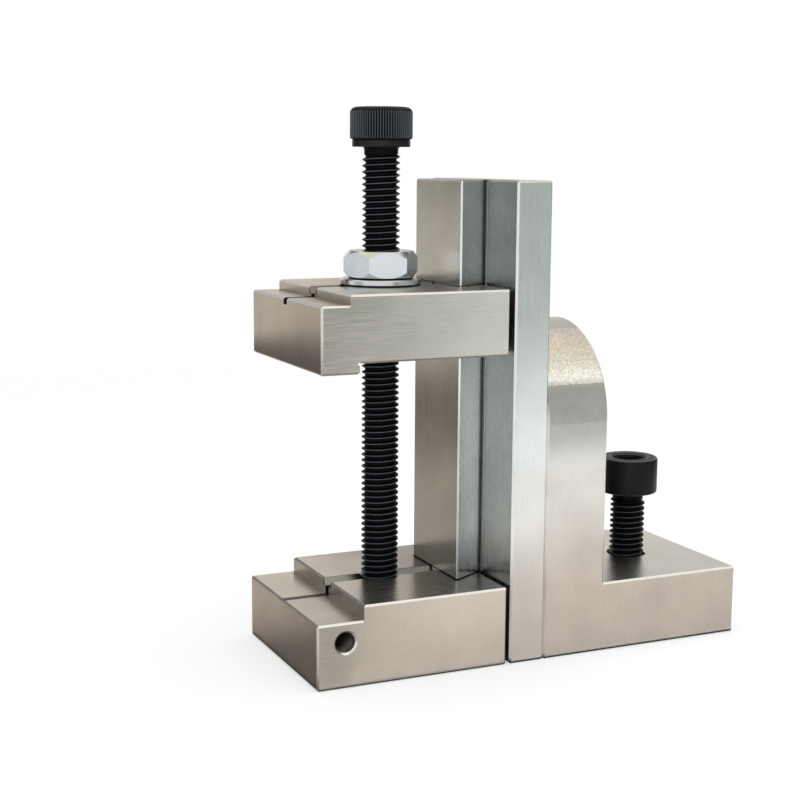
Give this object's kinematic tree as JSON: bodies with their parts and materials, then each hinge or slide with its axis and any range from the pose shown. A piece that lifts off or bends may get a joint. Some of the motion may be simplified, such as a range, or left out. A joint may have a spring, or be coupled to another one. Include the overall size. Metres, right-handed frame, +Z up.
{
  "type": "wire EDM vise",
  "caption": "Small upright clamping vise: an L base carries a dovetail rail with a fixed lower jaw and a sliding upper jaw pressed down by a nut on an upright screw.",
  "frame": {"origin": "centre of the footprint, on the surface the vise stands on", "axes": "+X from the jaws towards the foot, +Y to the rear, +Z up along the rail"},
  "size_m": [0.0996, 0.04, 0.1145],
  "materials": {
    "ground_steel": "ground, fine straight grain",
    "rail_steel": "ground, fine upright grain",
    "black_oxide": "matt black oxide",
    "zinc": "bright zinc plate",
    "dowel_steel": "ground"
  },
  "bodies": {
    "base": {"l_base": "ground_steel", "rail": "rail_steel", "lower_jaw": "ground_steel", "clamp_screw": "black_oxide", "base_screw": "black_oxide", "rail_screw_upper": "black_oxide", "rail_screw_lower": "black_oxide", "dowel_front": "dowel_steel", "dowel_rear": "dowel_steel", "lower_jaw_screw": "black_oxide"},
    "sliding_jaw": {"upper_jaw": "ground_steel", "clamp_washer": "zinc"},
    "nut": {"clamp_nut": "zinc"}
  },
  "joints": [
    {"name": "jaw_slide", "type": "slide", "parent": "base", "child": "sliding_jaw", "axis": [0, 0, 1], "range_m": [-0.048, 0.019]},
    {"name": "nut_turn", "type": "hinge", "parent": "sliding_jaw", "child": "nut", "pos_m": [-0.02785, 0, 0.0826], "axis": [0, 0, 1], "range_deg": [-13825, 5473]}
  ],
  "couplings": [
    {"joint": "nut_turn", "follows": "jaw_slide", "rad_per_m": 5026.5}
  ]
}
